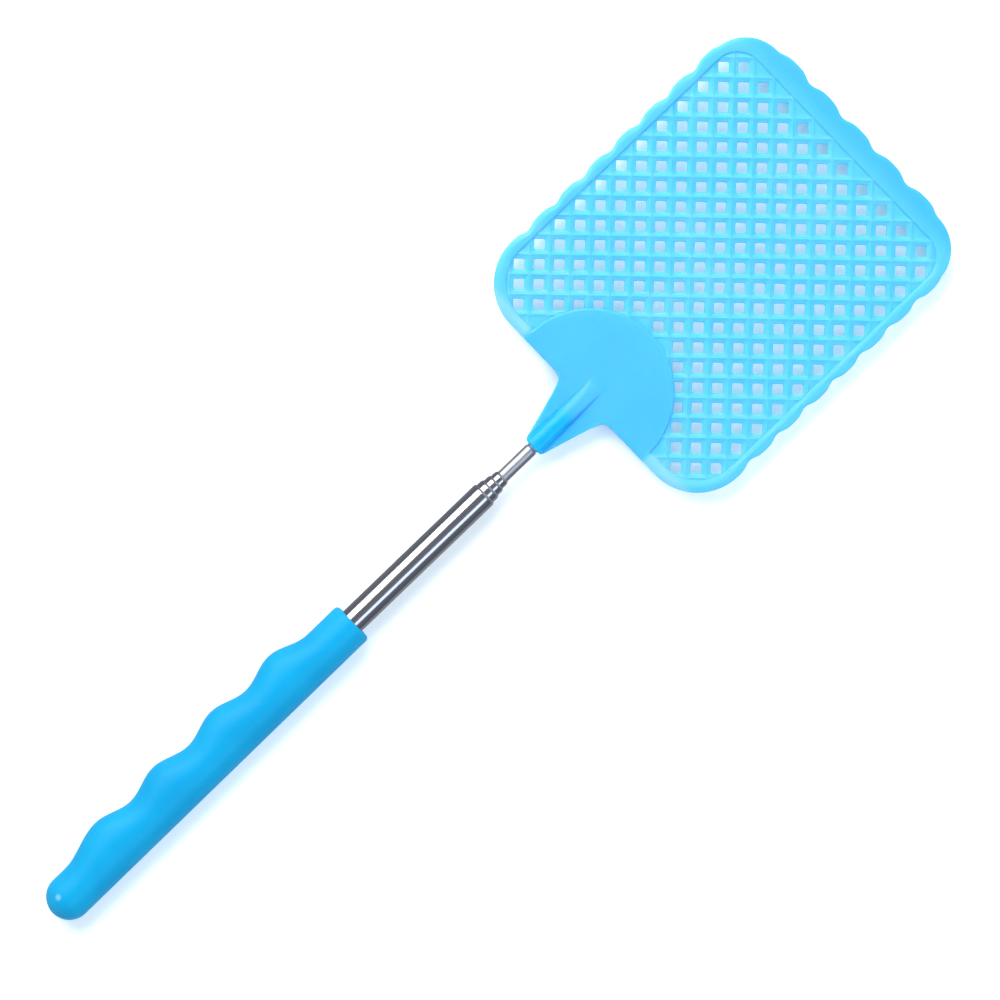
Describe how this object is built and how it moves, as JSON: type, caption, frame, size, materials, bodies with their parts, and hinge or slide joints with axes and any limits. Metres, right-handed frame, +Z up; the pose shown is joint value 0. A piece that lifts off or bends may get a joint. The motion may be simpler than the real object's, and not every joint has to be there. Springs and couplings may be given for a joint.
{
  "type": "fly swatter",
  "caption": "Telescopic fly swatter: moulded grip with finger swells, nested stainless rod that pulls out and swivels, and a flexible mesh head with a scalloped rim.",
  "frame": {"origin": "under the middle of the collapsed swatter, on the surface that it lies on", "axes": "+X along the rod from grip to head, +Y the side with the finger swells, +Z up from the surface"},
  "size_m": [0.3307, 0.096, 0.0126],
  "materials": {
    "grip_plastic": "moulded polypropylene, fine satin",
    "head_plastic": "moulded soft polyethylene, slightly translucent",
    "polished_stainless": "drawn and polished bright",
    "plug_brass": "turned",
    "spring_bronze": "rolled phosphor bronze strip"
  },
  "bodies": {
    "grip": {"grip": "grip_plastic", "outer_tube": "polished_stainless", "outer_base_plug": "plug_brass"},
    "second_spring": {"second_friction_spring": "spring_bronze"},
    "second_section": {"second_tube": "polished_stainless", "second_base_plug": "plug_brass"},
    "third_spring": {"third_friction_spring": "spring_bronze"},
    "third_section": {"third_tube": "polished_stainless", "third_base_plug": "plug_brass"},
    "fourth_spring": {"fourth_friction_spring": "spring_bronze"},
    "fourth_section": {"fourth_tube": "polished_stainless", "fourth_base_plug": "plug_brass"},
    "tip_spring": {"tip_friction_spring": "spring_bronze"},
    "tip_section": {"tip_tube": "polished_stainless", "tip_base_plug": "plug_brass", "swatter_head": "head_plastic"}
  },
  "joints": [
    {"name": "second_slide", "type": "slide", "parent": "grip", "child": "second_spring", "axis": [1, 0, 0], "range_m": [0, 0.1]},
    {"name": "second_swivel", "type": "hinge", "parent": "second_spring", "child": "second_section", "pos_m": [0, 0, 0.0063], "axis": [1, 0, 0], "continuous": true},
    {"name": "third_slide", "type": "slide", "parent": "second_section", "child": "third_spring", "axis": [1, 0, 0], "range_m": [0, 0.1]},
    {"name": "third_swivel", "type": "hinge", "parent": "third_spring", "child": "third_section", "pos_m": [0, 0, 0.0063], "axis": [1, 0, 0], "continuous": true},
    {"name": "fourth_slide", "type": "slide", "parent": "third_section", "child": "fourth_spring", "axis": [1, 0, 0], "range_m": [0, 0.1]},
    {"name": "fourth_swivel", "type": "hinge", "parent": "fourth_spring", "child": "fourth_section", "pos_m": [0, 0, 0.0063], "axis": [1, 0, 0], "continuous": true},
    {"name": "tip_slide", "type": "slide", "parent": "fourth_section", "child": "tip_spring", "axis": [1, 0, 0], "range_m": [0, 0.1]},
    {"name": "tip_swivel", "type": "hinge", "parent": "tip_spring", "child": "tip_section", "pos_m": [0, 0, 0.0063], "axis": [1, 0, 0], "continuous": true}
  ]
}
